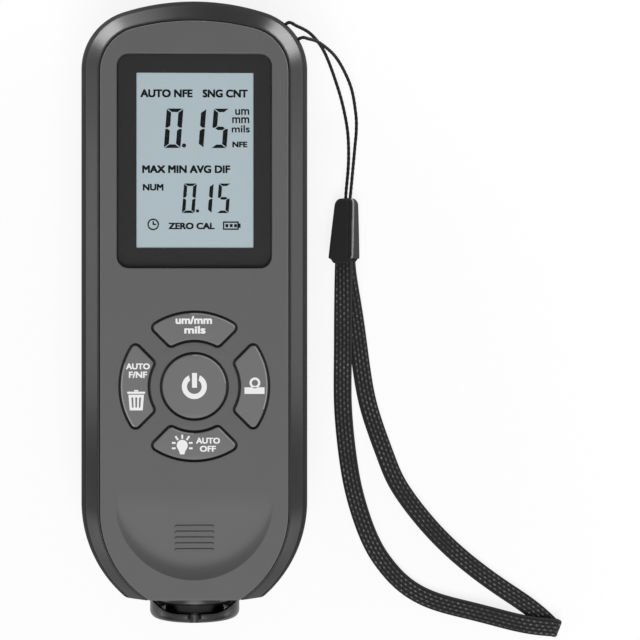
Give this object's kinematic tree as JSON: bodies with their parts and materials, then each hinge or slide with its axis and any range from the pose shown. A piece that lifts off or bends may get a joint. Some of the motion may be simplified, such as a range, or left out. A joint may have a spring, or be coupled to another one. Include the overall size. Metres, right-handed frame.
{
  "type": "coating thickness gauge",
  "caption": "Hand-held coating thickness gauge with display window, round key cluster, thumb scoop, spring-loaded probe at its lower end and a wrist strap on a cord.",
  "frame": {"origin": "on the back, in the middle of the gauge's length and width with its probe, without the strap", "axes": "+X to the right of the face, +Y towards the top of the gauge, +Z out of the face"},
  "size_m": [0.1107, 0.1447, 0.0275],
  "materials": {
    "dark_plastic": "satin",
    "grey_plastic": "fine matt",
    "key_plastic": "fine matt",
    "window_plastic": "clear with a black border",
    "display_glass": "reflective display",
    "white_plastic": "matt",
    "elastomer": "matt",
    "circuit_board": "solder mask",
    "black_plastic": "satin",
    "switch_steel": "stamped",
    "screw_steel": "plated",
    "cell_jacket": "plain sleeve",
    "contact_steel": "plated",
    "tip_steel": "polished",
    "core_ferrite": "ferrite",
    "copper_wire": "enamelled",
    "cord_nylon": "twisted",
    "strap_braid": "braided"
  },
  "bodies": {
    "case": {"rear_cover": "dark_plastic", "front_frame": "dark_plastic", "face_panel": "grey_plastic", "display_window": "window_plastic", "lcd_panel": "display_glass", "lcd_backlight": "white_plastic", "lcd_frame": "white_plastic", "lcd_connectors": "elastomer", "main_board": "circuit_board", "board_chips": "black_plastic", "buzzer": "black_plastic", "key_switches": "switch_steel", "board_screws": "screw_steel", "case_screws": "screw_steel", "battery_left": "cell_jacket", "battery_right": "cell_jacket", "battery_springs": "contact_steel", "battery_plates": "contact_steel", "probe_collar": "black_plastic", "probe_end_cap": "black_plastic", "probe_spring": "contact_steel", "strap_clip": "black_plastic", "lanyard_cord": "cord_nylon", "wrist_strap": "strap_braid"},
    "power_button": {"power_key": "key_plastic", "power_plunger": "black_plastic"},
    "units_button": {"units_key": "key_plastic", "units_plunger": "black_plastic"},
    "mode_button": {"mode_key": "key_plastic", "mode_plunger": "black_plastic"},
    "zero_button": {"zero_key": "key_plastic", "zero_plunger": "black_plastic"},
    "light_button": {"light_key": "key_plastic", "light_plunger": "black_plastic"},
    "probe": {"probe_sleeve": "black_plastic", "probe_tip": "tip_steel", "probe_core": "core_ferrite", "probe_coil": "copper_wire"},
    "door": {"battery_door": "dark_plastic"}
  },
  "joints": [
    {"name": "power_press", "type": "slide", "parent": "case", "child": "power_button", "axis": [0, 0, -1], "range_m": [0, 0.0005], "stiffness_N_per_m": 3000},
    {"name": "units_press", "type": "slide", "parent": "case", "child": "units_button", "axis": [0, 0, -1], "range_m": [0, 0.0005], "stiffness_N_per_m": 3000},
    {"name": "mode_press", "type": "slide", "parent": "case", "child": "mode_button", "axis": [0, 0, -1], "range_m": [0, 0.0005], "stiffness_N_per_m": 3000},
    {"name": "zero_press", "type": "slide", "parent": "case", "child": "zero_button", "axis": [0, 0, -1], "range_m": [0, 0.0005], "stiffness_N_per_m": 3000},
    {"name": "light_press", "type": "slide", "parent": "case", "child": "light_button", "axis": [0, 0, -1], "range_m": [0, 0.0005], "stiffness_N_per_m": 3000},
    {"name": "probe_push", "type": "slide", "parent": "case", "child": "probe", "axis": [0, 1, 0], "range_m": [0, 0.0015], "stiffness_N_per_m": 1200, "deforming": ["probe_spring"]},
    {"name": "door_hinge", "type": "hinge", "parent": "case", "child": "door", "pos_m": [0, 0.02665, 0], "axis": [1, 0, 0], "range_deg": [0, 70]}
  ]
}
